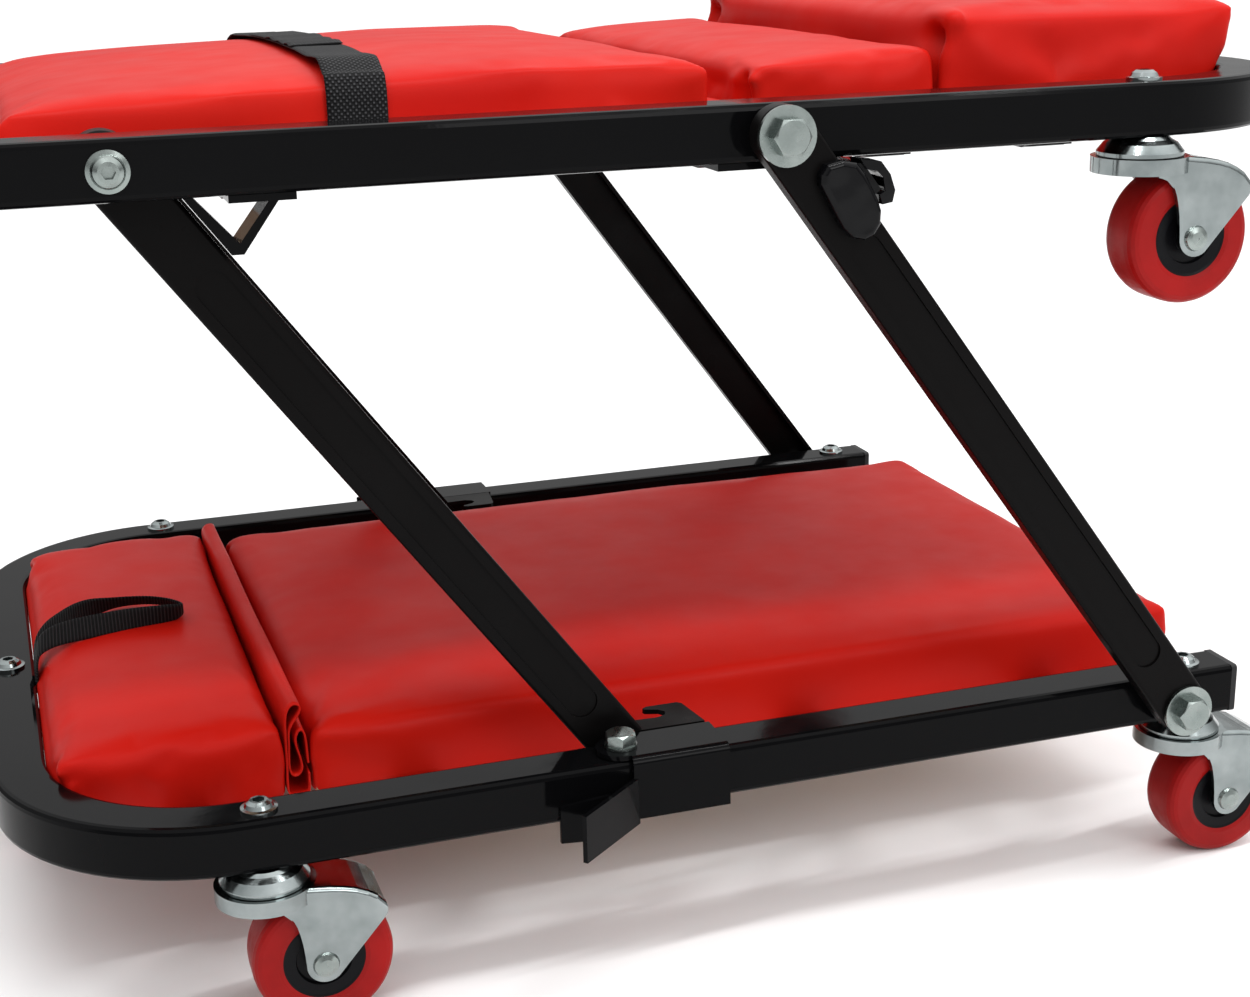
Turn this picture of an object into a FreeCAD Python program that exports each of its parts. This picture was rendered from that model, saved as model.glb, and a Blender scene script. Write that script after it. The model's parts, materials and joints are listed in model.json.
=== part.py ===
import FreeCAD, Part
import math
import os

V = FreeCAD.Vector

# ---------------------------------------------------------------- dimensions (mm)
# Frame: X along the rails, Y across, Z up, floor at Z = 0, near side at -Y.
TUBE = 25.0          # square tube, outside
WALL = 1.5
TUBE_R = 3.0         # outside corner radius of the tube
BEND_R = 104.0       # outside radius of the bends at the closed ends
HALF_W = 228.5       # outer face of the side rails
RAIL_Y = HALF_W - TUBE / 2.0
INNER_Y = HALF_W - TUBE
LOW_TOP = 104.0      # top face of the lower frame
UP_TOP = 397.0       # top face of the upper frame
RISE = UP_TOP - LOW_TOP
LOW_CLOSED_X = -324.0
LOW_OPEN_X = 279.0
UP_OPEN_X = -296.5
UP_CLOSED_X = 324.0
CAP_FLANGE = 3.0

# link pivots, at mid height of the rails
P1 = (240.0, LOW_TOP - 12.5)     # outer link, lower frame
P2 = (24.0, UP_TOP - 12.5)       # outer link, upper frame
P3 = (-251.0, UP_TOP - 12.5)     # inner link, upper frame
P4 = (-35.0, LOW_TOP - 12.5)     # inner link, lower frame
LINK_L = math.hypot(P1[0] - P2[0], P1[1] - P2[1])
LINK_W = 26.0
LINK_T = 2.4
OUT_WEB_Y = 243.5    # outer face of the outer links' web
OUT_DEPTH = 9.6
IN_WEB_Y = 202.0     # outer face of the inner links' web
IN_DEPTH = 12.0
PIN_R = 4.0
RUN = 0.05           # radial running clearance

# casters
WHEEL_R = 31.75
WHEEL_W = 25.0
HUB_R = 18.5
TRAIL = 22.0
AXLE_DROP = LOW_TOP - TUBE - WHEEL_R     # 47.25 below the rail
AXLE_R = 4.0
FORK_IN = 13.8
FORK_OUT = 16.2
LOW_CASTERS = {"nl": (-212.5, -RAIL_Y), "fl": (-212.5, RAIL_Y), "ml": (-311.5, 0.0),
               "nr": (255.0, -RAIL_Y), "fr": (255.0, RAIL_Y)}
UP_CASTERS = {"un": (213.0, -RAIL_Y), "uf": (213.0, RAIL_Y)}

# pads
PAD_HALF = 160.0
BOARD_T = 9.0
BOARD_BOTTOM = -25.0     # below the rail top, on the cross bars
SMALL_X = (-297.0, -191.5)
LARGE_X = (-181.5, 287.0)
SEAT_X = (-290.0, 23.5)
SHOULDER_X = (41.0, 137.5)
HEAD_X = (138.0, 300.0)
STRAP_X = (-153.5, -127.0)

# latch
LATCH_X = -46.0
LATCH_T = 2.3

# the mid caster's yoke reaches past the closed end: this centres the whole on X = 0
CENTRE_X = 5.0

# ---------------------------------------------------------------- helpers


def box(x0, x1, y0, y1, z0, z1):
    return Part.makeBox(x1 - x0, y1 - y0, z1 - z0, V(x0, y0, z0))


def cyl(r, h, p, d):
    return Part.makeCylinder(r, h, V(*p), V(*d))


def poly_face(pts):
    return Part.Face(Part.makePolygon([V(*p) for p in pts] + [V(*pts[0])]))


def prism_xy(pts, z0, z1):
    return poly_face([(x, y, z0) for x, y in pts]).extrude(V(0, 0, z1 - z0))


def prism_xz(pts, y0, y1):
    return poly_face([(x, y0, z) for x, z in pts]).extrude(V(0, y1 - y0, 0))


def prism_yz(pts, x0, x1):
    return poly_face([(x0, y, z) for y, z in pts]).extrude(V(x1 - x0, 0, 0))


def mirror_y(s):
    return s.mirror(V(0, 0, 0), V(0, 1, 0))


def fuse(shapes):
    shapes = list(shapes)
    out = shapes[0]
    if len(shapes) > 1:
        out = out.multiFuse(shapes[1:])
    return out.removeSplitter()


def group(shapes):
    return Part.makeCompound(list(shapes))


def fillet_some(s, r, pick):
    edges = [e for e in s.Edges if pick(e)]
    return s.makeFillet(r, edges) if edges else s


def is_vertical(e):
    a, b = e.Vertexes[0].Point, e.Vertexes[-1].Point
    return abs(a.x - b.x) < 1e-6 and abs(a.y - b.y) < 1e-6 and abs(a.z - b.z) > 1e-6


def revolve_z(profile, at):
    """Profile of (radius, z) pairs turned about a vertical axis through at."""
    f = poly_face([(r, 0, z) for r, z in profile])
    s = f.revolve(V(0, 0, 0), V(0, 0, 1), 360)
    s.translate(V(*at))
    return s


def revolve_y(profile, at):
    """Profile of (radius, y) pairs turned about an axis along Y through at."""
    f = poly_face([(0, y, r) for r, y in profile])
    s = f.revolve(V(0, 0, 0), V(0, 1, 0), 360)
    s.translate(V(*at))
    return s


def hexagon_y(af, y0, y1, at):
    r = af / math.sqrt(3.0)
    pts = [(at[0] + r * math.cos(math.radians(60 * k)),
            at[1] + r * math.sin(math.radians(60 * k))) for k in range(6)]
    return prism_xz(pts, min(y0, y1), max(y0, y1))


def hexagon_z(af, z0, z1, at):
    r = af / math.sqrt(3.0)
    pts = [(at[0] + r * math.cos(math.radians(60 * k + 20)),
            at[1] + r * math.sin(math.radians(60 * k + 20))) for k in range(6)]
    return prism_xy(pts, z0, z1)


def chamfered_hex_y(af, y0, y1, at):
    """Hexagon head whose outer end (y1) is turned to a cone."""
    f = 1.0 if y1 > y0 else -1.0
    h = abs(y1 - y0)
    prof = [(0.0, 0.0), (af * 0.6, 0.0), (af * 0.6, f * (h - 1.4)), (af * 0.48, f * h), (0.0, f * h)]
    return hexagon_y(af, y0, y1, at).common(revolve_y(prof, (at[0], y0, at[1])))


def chamfered_hex_z(af, z0, z1, at):
    h = z1 - z0
    prof = [(0.0, 0.0), (af * 0.6, 0.0), (af * 0.6, h - 1.2), (af * 0.48, h), (0.0, h)]
    return hexagon_z(af, z0, z1, at).common(revolve_z(prof, (at[0], at[1], z0)))


# ---------------------------------------------------------------- bent tubes


def section(at, along_x, out):
    """Rounded square section centred at a point, out = growth on every side."""
    h = TUBE / 2.0 + out
    r = TUBE_R + out
    pts = []
    for cx, cz, a0 in ((h - r, h - r, 0), (-h + r, h - r, 90), (-h + r, -h + r, 180), (h - r, -h + r, 270)):
        for k in range(4):
            a = math.radians(a0 + 30 * k)
            pts.append((cx + r * math.cos(a), cz + r * math.sin(a)))
    if along_x:
        return poly_face([(at[0], at[1] + u, at[2] + w) for u, w in pts])
    return poly_face([(at[0] + u, at[1], at[2] + w) for u, w in pts])


def u_bar(open_x, closed_x, top, out=0.0):
    """Solid U: two rails along X joined by a bent cross run."""
    zc = top - TUBE / 2.0
    s = 1.0 if closed_x > open_x else -1.0
    bx = closed_x - s * BEND_R
    by = HALF_W - BEND_R
    cx = closed_x - s * TUBE / 2.0
    solids = []
    for side in (-1, 1):
        y = side * RAIL_Y
        solids.append(section((open_x, y, zc), True, out).extrude(V(bx - open_x, 0, 0)))
        solids.append(section((bx, y, zc), True, out).revolve(V(bx, side * by, 0), V(0, 0, 1), -90 * s * side))
    solids.append(section((cx, -by, zc), False, out).extrude(V(0, 2 * by, 0)))
    return fuse(solids)


def u_tube(open_x, closed_x, top):
    s = 1.0 if closed_x > open_x else -1.0
    return u_bar(open_x, closed_x, top).cut(u_bar(open_x - s * 1.0, closed_x, top, -WALL))


def rail_holes(casters, top, through, outer_only):
    cuts = []
    for x, y in casters.values():
        cuts.append(cyl(PIN_R + 0.02, TUBE + 2, (x, y, top - TUBE - 1), (0, 0, 1)))
    for side in (-1, 1):
        for x, z in through:
            cuts.append(cyl(PIN_R + 0.02, TUBE + 2, (x, side * (INNER_Y - 1), z), (0, side, 0)))
        for x, z in outer_only:
            cuts.append(cyl(PIN_R + 0.02, WALL + 2, (x, side * (HALF_W - WALL - 1), z), (0, side, 0)))
    return cuts


low_tube = u_tube(LOW_OPEN_X - CAP_FLANGE, LOW_CLOSED_X, LOW_TOP)
low_cuts = rail_holes(LOW_CASTERS, LOW_TOP, [], [P1])
for side in (-1, 1):
    low_cuts.append(cyl(PIN_R + 0.02, WALL + 2, (P4[0], side * (INNER_Y - 1), P4[1]), (0, side, 0)))
    low_cuts.append(cyl(PIN_R + 0.02, TUBE + 2, (LATCH_X, side * RAIL_Y, LOW_TOP - TUBE - 1), (0, 0, 1)))
low_tube = low_tube.cut(group(low_cuts))
# thumb plates welded along the outer faces, beside the latches
thumb = prism_xz([(-80, LOW_TOP - 34), (-56, LOW_TOP - 36), (-56, LOW_TOP - 14), (-80, LOW_TOP - 16)],
                 -HALF_W - 2.0, -HALF_W)
lower_frame_tube = fuse([low_tube, thumb, mirror_y(thumb)])

up_tube = u_tube(UP_OPEN_X + CAP_FLANGE, UP_CLOSED_X, UP_TOP)
upper_frame_tube = up_tube.cut(group(rail_holes(UP_CASTERS, UP_TOP, [P3], [P2])))


def cap(x_end, s, y, top):
    """Ribbed plug with a thin flange; s is the direction it faces."""
    z = top - TUBE / 2.0
    h = TUBE / 2.0
    a, b = sorted((x_end, x_end - s * CAP_FLANGE))
    fl = box(a, b, y - h, y + h, z - h, z + h)
    fl = fillet_some(fl, 2.0, lambda e: abs(e.Vertexes[0].Point.x - e.Vertexes[-1].Point.x) > 1)
    g = h - WALL - 0.1
    c, d = sorted((x_end - s * CAP_FLANGE, x_end - s * 16.0))
    plug = box(c, d, y - g, y + g, z - g, z + g)
    plug = fillet_some(plug, 2.0, lambda e: abs(e.Vertexes[0].Point.x - e.Vertexes[-1].Point.x) > 1)
    hole = box(c - 1 if s > 0 else c + 1, d - 1 if s > 0 else d + 1,
               y - g + 2, y + g - 2, z - g + 2, z + g - 2)
    plug = plug.cut(hole)
    return fuse([fl, plug])


lower_tube_caps = group([cap(LOW_OPEN_X, 1, -RAIL_Y, LOW_TOP), cap(LOW_OPEN_X, 1, RAIL_Y, LOW_TOP)])
upper_tube_caps = group([cap(UP_OPEN_X, -1, -RAIL_Y, UP_TOP), cap(UP_OPEN_X, -1, RAIL_Y, UP_TOP)])


def cross_bar(x, top, w=22.0):
    """Flat bar welded under both rails, dipped where the inner links pass."""
    u = top - TUBE
    b = top + BOARD_BOTTOM
    t = 3.0
    half = [(226.0, u), (206.0, u), (203.0, u - 1.2), (184.0, u - 1.2), (181.0, b)]
    upper = [(-y, z) for y, z in half] + [(y, z) for y, z in reversed(half)]
    lower = [(226.0, u - t), (205.0, u - t), (202.0, u - 1.2 - t), (183.0, u - 1.2 - t), (180.0, b - t)]
    under = [(y, z) for y, z in lower] + [(-y, z) for y, z in reversed(lower)]
    return prism_yz(upper + under, x - w / 2.0, x + w / 2.0)


def short_bar(x, top, end, w=22.0):
    """The same bar whose ends stop under the rails, out of sight."""
    return cross_bar(x, top, w).common(box(x - w, x + w, -end, end, top - 60.0, top))


lower_cross_bars = group([short_bar(-240.0, LOW_TOP, 215.0), short_bar(-130.0, LOW_TOP, 215.0),
                          short_bar(70.0, LOW_TOP, 215.0), short_bar(205.0, LOW_TOP, 215.0)])
upper_cross_bars = group([cross_bar(-192.5, UP_TOP, 27.0), cross_bar(14.0, UP_TOP, 28.0),
                          short_bar(88.0, UP_TOP, 209.0), short_bar(170.0, UP_TOP, 209.0)])


def board(x0, x1, top, tube_like):
    s = box(x0, x1, -PAD_HALF + 3, PAD_HALF - 3, top + BOARD_BOTTOM, top + BOARD_BOTTOM + BOARD_T)
    return s.cut(tube_like) if tube_like is not None else s


low_clear = u_bar(LOW_OPEN_X, LOW_CLOSED_X, LOW_TOP, 1.0)
up_clear = u_bar(UP_OPEN_X, UP_CLOSED_X, UP_TOP, 1.0)


def biggest(s):
    return max(s.Solids, key=lambda a: a.Volume)


lower_pad_boards = group([
    biggest(board(SMALL_X[0] + 3, SMALL_X[1] - 3, LOW_TOP, low_clear)),
    biggest(board(LARGE_X[0] + 3, LARGE_X[1] - 3, LOW_TOP, None))])
upper_pad_boards = group([
    biggest(board(SEAT_X[0] + 3, SEAT_X[1] - 3, UP_TOP, None)),
    biggest(board(SHOULDER_X[0] + 3, HEAD_X[1] - 3, UP_TOP, up_clear))])


def pad(x, top, thick, clear=None, r=7.0):
    z0 = top + BOARD_BOTTOM + BOARD_T
    s = box(x[0], x[1], -PAD_HALF, PAD_HALF, z0, top + thick)
    s = fillet_some(s, r, is_vertical)
    zt = top + thick
    s = fillet_some(s, r, lambda e: all(abs(v.Point.z - zt) < 1e-6 for v in e.Vertexes))
    if clear is not None:
        s = biggest(s.cut(clear))
    return s


small_pad = pad(SMALL_X, LOW_TOP, 15.0, low_clear)
large_pad = pad(LARGE_X, LOW_TOP, 11.0)
seat_pad = pad(SEAT_X, UP_TOP, 22.0)
# the strap presses into the top of the seat pad
seat_pad = seat_pad.cut(box(STRAP_X[0], STRAP_X[1], -PAD_HALF - 2, PAD_HALF + 2, UP_TOP + 20.4, UP_TOP + 25.0))
shoulder_pad = pad(SHOULDER_X, UP_TOP, 12.5, None, 6.0)
headrest_pad = pad(HEAD_X, UP_TOP, 38.0, up_clear, 8.0)


def folded_sheet(pts, t, y0, y1):
    """Sheet of thickness t along a path of (x, z) points."""
    n = len(pts)
    left, right = [], []
    for i, (x, z) in enumerate(pts):
        a = pts[max(i - 1, 0)]
        b = pts[min(i + 1, n - 1)]
        dx, dz = b[0] - a[0], b[1] - a[1]
        m = math.hypot(dx, dz)
        nx, nz = -dz / m, dx / m
        k = 1.0
        if 0 < i < n - 1:
            d1 = (x - a[0], z - a[1])
            m1 = math.hypot(*d1)
            t1 = (d1[0] / m1, d1[1] / m1)
            cosn = nx * -t1[1] + nz * t1[0]
            k = 1.0 / max(0.6, cosn)
        left.append((x + nx * t / 2 * k, z + nz * t / 2 * k))
        right.append((x - nx * t / 2 * k, z - nz * t / 2 * k))
    return prism_xz(left + right[::-1], y0, y1)


# folded sheet hinges of the cover material, held between the boards and the pads
hz = LOW_TOP
lower_hinge_fold = folded_sheet(
    [(-191.05, hz - 8.0), (-191.05, hz + 8.0), (-190.4, hz + 15.0), (-188.6, hz + 20.0), (-186.2, hz + 21.4),
     (-184.3, hz + 19.0), (-184.8, hz + 8.0), (-187.6, hz + 1.0), (-187.8, hz - 5.0), (-186.0, hz - 8.0),
     (-183.6, hz - 6.0), (-182.0, hz + 1.0), (-182.0, hz + 6.0)], 0.9, -156.0, 156.0)
uz = UP_TOP
upper_hinge_fold = folded_sheet(
    [(24.1, uz - 3.0), (24.1, uz - 7.0), (25.4, uz - 9.4), (28.0, uz - 10.4), (36.5, uz - 10.4), (39.0, uz - 9.4),
     (40.3, uz - 7.0), (40.3, uz - 3.0)], 1.0, -156.0, 156.0)


# webbing loop handle standing on the small pad, and the seat strap round the seat pad
def ribbon(path, w, t):
    """Ribbon whose path lies in plan, standing w high."""
    n = len(path)
    left, right = [], []
    for i, (x, y) in enumerate(path):
        a, b = path[max(i - 1, 0)], path[min(i + 1, n - 1)]
        dx, dy = b[0] - a[0], b[1] - a[1]
        m = math.hypot(dx, dy)
        left.append((x - dy / m * t / 2, y + dx / m * t / 2))
        right.append((x + dy / m * t / 2, y - dx / m * t / 2))
    return left, right


lp = [(-297.9, -17.5), (-285.0, -15.5), (-262.0, -12.5), (-240.0, -11.0), (-228.0, -9.5), (-221.8, -5.5),
      (-220.5, 0.0), (-222.2, 6.5), (-229.0, 14.0), (-242.0, 18.5), (-258.0, 18.0), (-272.0, 10.0), (-286.0, -4.5),
      (-297.9, -11.5)]
la, lb = ribbon(lp, 14.0, 2.0)
band = prism_xy(la + lb[::-1], LOW_TOP + 15.6, LOW_TOP + 28.0)
tail = box(-298.7, -297.0, -18.5, -10.0, LOW_TOP - 6.0, LOW_TOP + 28.0)
loop_handle = fuse([band, tail])

sx0, sx1 = STRAP_X
strap_top = box(sx0, sx1, -PAD_HALF - 1.6, PAD_HALF + 1.6, UP_TOP + 20.4, UP_TOP + 22.0)
strap_n = box(sx0, sx1, -PAD_HALF - 1.6, -PAD_HALF, UP_TOP + BOARD_BOTTOM - 1.4, UP_TOP + 20.4)
strap_f = mirror_y(strap_n)
strap_b = box(sx0, sx1, -PAD_HALF - 1.6, PAD_HALF + 1.6, UP_TOP + BOARD_BOTTOM - 1.4, UP_TOP + BOARD_BOTTOM)
seat_strap = fuse([strap_top, strap_n, strap_f, strap_b])

# ---------------------------------------------------------------- link pivots


def hex_bolt(p, side):
    """Hex bolt, washer and spacer holding an outer link to a rail."""
    w = OUT_WEB_Y
    x, z = p
    f = side
    parts = [
        chamfered_hex_y(15.0, f * (w + 2.1), f * (w + 8.3), p),
        cyl(13.0, 1.9, (x, f * (w + 0.2), z), (0, f, 0)),
        cyl(PIN_R, w + 3 - 209.0, (x, f * 209.0, z), (0, f, 0)),
        cyl(8.0, w - LINK_T - 0.25 - HALF_W, (x, f * HALF_W, z), (0, f, 0)),
        hexagon_y(13.0, f * (HALF_W - WALL), f * (HALF_W - WALL - 6.5), p)]
    return fuse(parts)


def button_bolt(p, side):
    """Button head bolt through a rail and an inner link, nut in the link's hollow."""
    f = side
    x, z = p
    head = revolve_y([(0.0, 0.0), (8.5, 0.0), (8.5, -1.2), (6.8, -1.6), (5.9, -3.2), (4.2, -4.3), (0.0, -4.5)]
                     if f < 0 else
                     [(0.0, 0.0), (8.5, 0.0), (8.5, 1.2), (6.8, 1.6), (5.9, 3.2), (4.2, 4.3), (0.0, 4.5)],
                     (x, f * HALF_W, z))
    socket = hexagon_y(5.0, f * (HALF_W + 1.8), f * (HALF_W + 5.0), p)
    inner = IN_WEB_Y - LINK_T
    parts = [head.cut(socket),
             cyl(PIN_R, HALF_W + 0.5 - 192.5, (x, f * 192.5, z), (0, f, 0)),
             cyl(7.0, INNER_Y - IN_WEB_Y - 0.2, (x, f * (IN_WEB_Y + 0.2), z), (0, f, 0)),
             hexagon_y(13.0, f * (inner - 0.25), f * (inner - 6.4), p)]
    return fuse(parts)


def shoulder_screw(p, side):
    """Screw from the inboard side through an inner link into the rail's inner wall."""
    f = side
    x, z = p
    inner = IN_WEB_Y - LINK_T
    parts = [cyl(7.0, 3.6, (x, f * (inner - 0.25 - 3.6), z), (0, f, 0)),
             cyl(PIN_R, 215.0 - 198.0, (x, f * 198.0, z), (0, f, 0)),
             cyl(7.0, INNER_Y - IN_WEB_Y - 0.2, (x, f * (IN_WEB_Y + 0.2), z), (0, f, 0)),
             hexagon_y(13.0, f * (INNER_Y + WALL), f * (INNER_Y + WALL + 6.0), p)]
    return fuse(parts)


lower_pivot_bolts = group([hex_bolt(P1, -1), hex_bolt(P1, 1), shoulder_screw(P4, -1), shoulder_screw(P4, 1)])
upper_hex_bolts = group([hex_bolt(P2, -1), hex_bolt(P2, 1)])
upper_button_bolts = group([button_bolt(P3, -1), button_bolt(P3, 1)])


def stadium(p, q, r, y0, y1):
    """Round-ended bar in the XZ plane from p to q."""
    dx, dz = q[0] - p[0], q[1] - p[1]
    m = math.hypot(dx, dz)
    ux, uz_ = dx / m, dz / m
    nx, nz = -uz_, ux
    a = V(p[0] + nx * r, y0, p[1] + nz * r)
    b = V(q[0] + nx * r, y0, q[1] + nz * r)
    c = V(q[0] - nx * r, y0, q[1] - nz * r)
    d = V(p[0] - nx * r, y0, p[1] - nz * r)
    qe = V(q[0] + ux * r, y0, q[1] + uz_ * r)
    pe = V(p[0] - ux * r, y0, p[1] - uz_ * r)
    w = Part.Wire([Part.LineSegment(a, b).toShape(), Part.Arc(b, qe, c).toShape(),
                   Part.LineSegment(c, d).toShape(), Part.Arc(d, pe, a).toShape()])
    return Part.Face(w).extrude(V(0, y1 - y0, 0))


def along(p, q, s, t=0.0):
    """Point s along p to q and t to its left-down side."""
    m = math.hypot(q[0] - p[0], q[1] - p[1])
    ux, uz_ = (q[0] - p[0]) / m, (q[1] - p[1]) / m
    return (p[0] + ux * s + uz_ * t, p[1] + uz_ * s - ux * t)


def channel_link(p, q, web_y, depth, side, groove):
    """Pressed channel: web outward, flanges inward, with a long pressed groove."""
    f = side
    r = LINK_W / 2.0
    lo, hi = sorted((f * web_y, f * (web_y - depth)))
    body = stadium(p, q, r, lo, hi)
    yo = f * web_y
    body = fillet_some(body, 2.0, lambda e: all(abs(v.Point.y - yo) < 1e-6 for v in e.Vertexes))
    ilo, ihi = sorted((f * (web_y - LINK_T), f * (web_y - depth - 1)))
    body = body.cut(stadium(p, q, r - LINK_T, ilo, ihi))
    glo, ghi = sorted((f * (web_y - 1.0), f * (web_y + 1)))
    body = body.cut(stadium(along(p, q, groove[0]), along(p, q, groove[1]), 7.5, glo, ghi))
    for c in (p, q):
        body = body.cut(cyl(PIN_R + RUN, depth + 4, (c[0], f * (web_y - depth - 2), c[1]), (0, f, 0)))
    return body


right_link_near = channel_link(P2, P1, OUT_WEB_Y, OUT_DEPTH, -1, (64.0, 322.0))
left_link_near = channel_link(P3, P4, IN_WEB_Y, IN_DEPTH, -1, (66.0, 322.0))

# lug on the foot of each inner link, level with the top of the rail
ear = prism_xy([(-36.0, -202.6), (0.5, -202.6), (-2.6, -179.0), (-4.5, -177.0), (-20.0, -177.0), (-22.6, -178.6),
                (-22.0, -180.2), (-16.0, -182.4), (-13.6, -185.6), (-14.6, -189.0), (-19.0, -191.0), (-36.0, -190.2)],
               LOW_TOP + 0.6, LOW_TOP + 3.0)
hollow = stadium(P3, P4, LINK_W / 2.0 - LINK_T, -IN_WEB_Y + LINK_T, -IN_WEB_Y + IN_DEPTH + 1)
left_link_near = fuse([left_link_near, ear.cut(hollow)])
left_link_far = mirror_y(left_link_near)
right_link_far = mirror_y(right_link_near)


def stop_hook(side):
    """Bracket on the outer link's face: rounded tab, bent leg under the rail and an open hook."""
    f = side
    y0 = OUT_WEB_Y
    def Q(pts):
        return [along(P2, P1, s, t) for s, t in pts]
    tab = prism_xz(Q(((20.0, -6.0), (21.5, -1.5), (25.0, 1.2), (38.0, 3.0), (47.0, 4.0), (53.0, 3.0), (57.5, -1.0),
                      (58.5, -5.5), (56.5, -10.5), (52.0, -14.2), (47.0, -15.8), (34.0, -17.6), (28.0, -17.2),
                      (23.0, -12.5))), *sorted((f * y0, f * (y0 + 6.0))))
    tab = fillet_some(tab, 2.5, lambda e: all(abs(abs(v.Point.y) - y0 - 6.0) < 1e-6 for v in e.Vertexes))
    leg = prism_xz(Q(((26.5, -13.4), (31.5, -20.5), (46.0, -20.5), (46.0, -13.4))),
                   *sorted((f * 217.0, f * (y0 + 0.5))))
    core = prism_xz(Q(((33.0, -12.0), (33.0, -17.2), (43.0, -17.2), (43.0, -12.0))),
                    *sorted((f * 216.0, f * (y0 - OUT_DEPTH - 0.6))))
    hook = prism_xz(Q(((29.0, -20.0), (35.8, -27.0), (43.0, -27.2), (50.0, -25.0), (53.4, -21.0), (51.2, -16.8),
                       (47.0, -18.2), (47.4, -21.2), (42.0, -23.8), (37.6, -23.0), (34.5, -20.0))),
                    *sorted((f * 233.0, f * (y0 + 2.0))))
    return fuse([tab, leg.cut(core), hook])


stop_hook_near = stop_hook(-1)
stop_hook_far = mirror_y(stop_hook_near)

# V-shaped stop straps under the upper rails, one arm along each inner link
u = UP_TOP - TUBE
dx, dz = P4[0] - P3[0], P4[1] - P3[1]
m = math.hypot(dx, dz)
tx, tz = dx / m, dz / m
off = LINK_W / 2.0 + 1.6


def edge_point(z):
    """Point at height z on a line just right of the inner link's upper edge."""
    bx, bz = P3[0] - tz * off, P3[1] + tx * off
    k = (z - bz) / tz
    return (bx + tx * k, z)


a0 = edge_point(u)
a1 = edge_point(UP_TOP - 51.0)
strap_v = prism_xz([a0, a1, (a1[0] + 5.0, a1[1]), (a1[0] + 24.0, u), (a1[0] + 20.2, u),
                    (a1[0] + 3.6, a1[1] + 4.6), (a0[0] + 3.9, u)], -211.0, -191.0)
stop_straps = group([strap_v.cut(cross_bar(-192.5, UP_TOP, 27.0)), mirror_y(strap_v.cut(cross_bar(-192.5, UP_TOP, 27.0)))])

# ---------------------------------------------------------------- latches


def latch(side):
    """Plate pivoting on a vertical bolt: top plate, outer face, flared finger tab."""
    x0 = LATCH_X
    zt = LOW_TOP + 0.5
    top = prism_xy([(x0 + 1.0, -232.0), (2.0, -232.0), (2.0, -204.0), (x0 + 4.0, -204.0)], zt, zt + LATCH_T)
    disc = cyl(11.8, LATCH_T, (x0, -RAIL_Y, zt), (0, 0, 1))
    top = fuse([top, disc])
    face = box(x0 + 1.0, 2.0, -232.0, -232.0 + LATCH_T, LOW_TOP - 27.5, zt + LATCH_T)
    plate = fuse([top, face])
    plate = fillet_some(plate, 4.0, lambda e: abs(e.Vertexes[0].Point.y + 232.0) < 1e-6
                        and abs(e.Vertexes[-1].Point.y + 232.0) < 1e-6
                        and abs(e.Vertexes[0].Point.z - zt - LATCH_T) < 1e-6
                        and abs(e.Vertexes[-1].Point.z - zt - LATCH_T) < 1e-6)
    c, s = math.cos(math.radians(40)), math.sin(math.radians(40))
    ax, ay = x0 + 2.2, -232.0 + LATCH_T
    tab = prism_xy([(ax, ay), (ax - 45 * c, ay - 45 * s), (ax - 45 * c + LATCH_T * s, ay - 45 * s - LATCH_T * c),
                    (ax + LATCH_T * s, ay - LATCH_T * c)], LOW_TOP - 30.0, LOW_TOP - 7.4)
    out = fuse([plate, tab])
    out = out.cut(cyl(PIN_R + RUN, 20, (x0, -RAIL_Y, LOW_TOP - 5), (0, 0, 1)))
    return out if side < 0 else mirror_y(out)


latch_near = latch(-1)
latch_far = latch(1)


def latch_bolt(side):
    x, y = LATCH_X, side * RAIL_Y
    top = LOW_TOP + 0.5 + LATCH_T
    parts = [cyl(PIN_R, top + 1.5 - (LOW_TOP - TUBE - 8.0), (x, y, LOW_TOP - TUBE - 8.0), (0, 0, 1)),
             cyl(7.6, 1.4, (x, y, top + 0.15), (0, 0, 1)),
             chamfered_hex_z(13.0, top + 1.55, top + 7.2, (x, y)),
             hexagon_z(13.0, LOW_TOP - TUBE - 6.5, LOW_TOP - TUBE, (x, y))]
    return fuse(parts)


latch_bolts = group([latch_bolt(-1), latch_bolt(1)])

# ---------------------------------------------------------------- casters


def caster_mount(x, y, top):
    """Screw from the rail top, washer, flanged race under the rail and the kingpin below it."""
    u = top - TUBE
    head = revolve_z([(0.0, 0.0), (8.2, 0.0), (8.2, 1.3), (6.6, 1.7), (5.7, 3.4), (4.0, 4.6), (0.0, 4.8)],
                     (x, y, top))
    head = head.cut(hexagon_z(5.0, top + 2.0, top + 5.5, (x, y)))
    shank = cyl(PIN_R, top - u + 13.0, (x, y, u - 13.0), (0, 0, 1))
    race = revolve_z([(PIN_R, 0.0), (12.5, 0.0), (14.0, -1.5), (17.0, -3.2), (20.0, -7.0), (20.0, -8.8), (PIN_R, -8.8)],
                     (x, y, u))
    rivet = cyl(6.2, 2.2, (x, y, u - 14.6), (0, 0, 1))
    return fuse([head, shank, race, rivet])


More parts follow.
